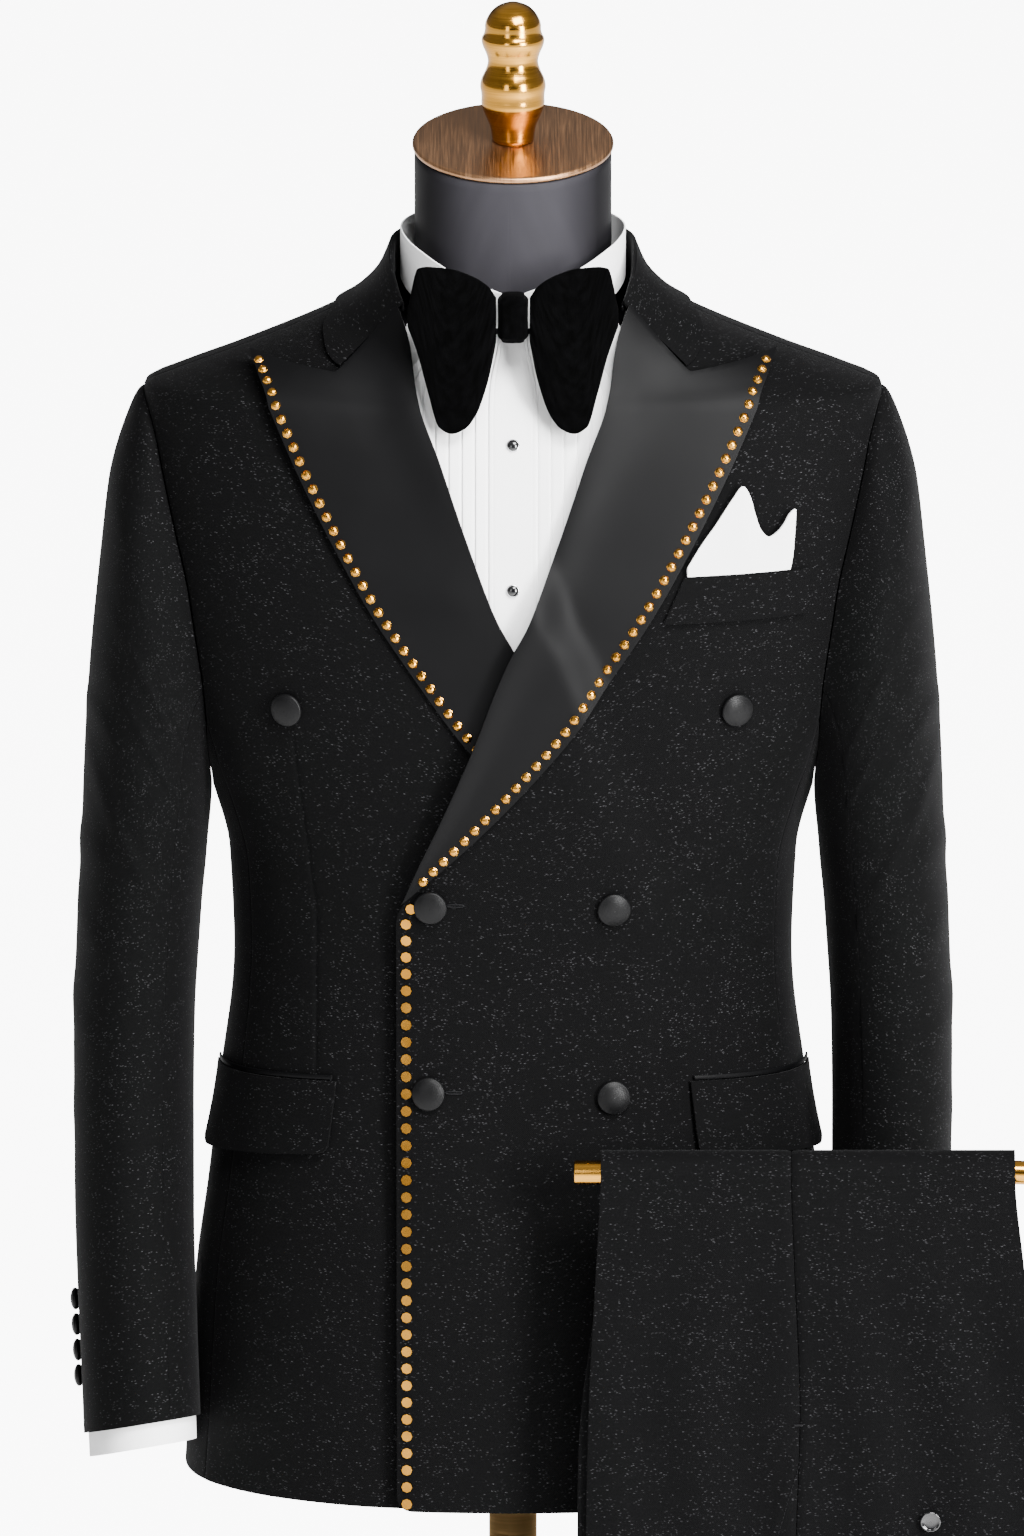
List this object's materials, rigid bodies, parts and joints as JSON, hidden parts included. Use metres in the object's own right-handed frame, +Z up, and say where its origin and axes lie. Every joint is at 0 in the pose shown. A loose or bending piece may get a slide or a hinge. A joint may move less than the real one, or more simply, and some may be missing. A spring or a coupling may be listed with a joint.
{
  "type": "tuxedo on a dress form with a trouser rail",
  "caption": "Double-breasted tuxedo jacket with shirt, bow tie and pocket square on a limbless dress form, its trousers folded over a rail.",
  "frame": {"origin": "on the floor at the middle of the round base, under the pole", "axes": "+Z up along the pole, -Y the front of the garment, +X the wearer's left"},
  "size_m": [0.6364, 0.3749, 1.6315],
  "materials": {
    "twill": "fine black twill with a faint sparkle",
    "satin": "black satin",
    "velvet": "black velvet",
    "linen": "white poplin",
    "form": "charcoal sateen cover",
    "brass": "brushed antique brass",
    "black_stud": "polished black"
  },
  "bodies": {
    "root": {"jacket_front_left": "twill", "jacket_front_right": "twill", "jacket_side_left": "twill", "jacket_side_right": "twill", "jacket_back_left": "twill", "jacket_back_right": "twill", "pocket_flap_left": "twill", "pocket_flap_right": "twill", "sleeve_top_left": "twill", "sleeve_top_right": "twill", "sleeve_under_left": "twill", "sleeve_under_right": "twill", "jacket_collar": "twill", "breast_welt": "twill", "trouser_front": "twill", "trouser_back": "twill", "trouser_layers": "twill", "trouser_waistband": "twill", "trouser_back_pocket": "twill", "lapel_left": "satin", "lapel_right": "satin", "pocket_jet_left": "satin", "pocket_jet_right": "satin", "button_top_right": "satin", "button_top_left": "satin", "button_middle_right": "satin", "button_middle_left": "satin", "button_low_right": "satin", "button_low_left": "satin", "cuff_button_left_1": "satin", "cuff_button_left_2": "satin", "cuff_button_left_3": "satin", "cuff_button_left_4": "satin", "cuff_button_right_1": "satin", "cuff_button_right_2": "satin", "cuff_button_right_3": "satin", "cuff_button_right_4": "satin", "bow_wing_left": "velvet", "bow_wing_right": "velvet", "bow_knot": "velvet", "pocket_square": "linen", "shirt_front": "linen", "shirt_collar": "linen", "shirt_cuff_left": "linen", "shirt_cuff_right": "linen", "shirt_stud_top": "black_stud", "shirt_stud_low": "black_stud", "trouser_pocket_button": "black_stud", "form_body": "form", "form_cap": "brass", "form_finial": "brass", "form_pole": "brass", "form_base": "brass", "rail_clamp": "brass", "trouser_rail": "brass"}
  },
  "joints": []
}
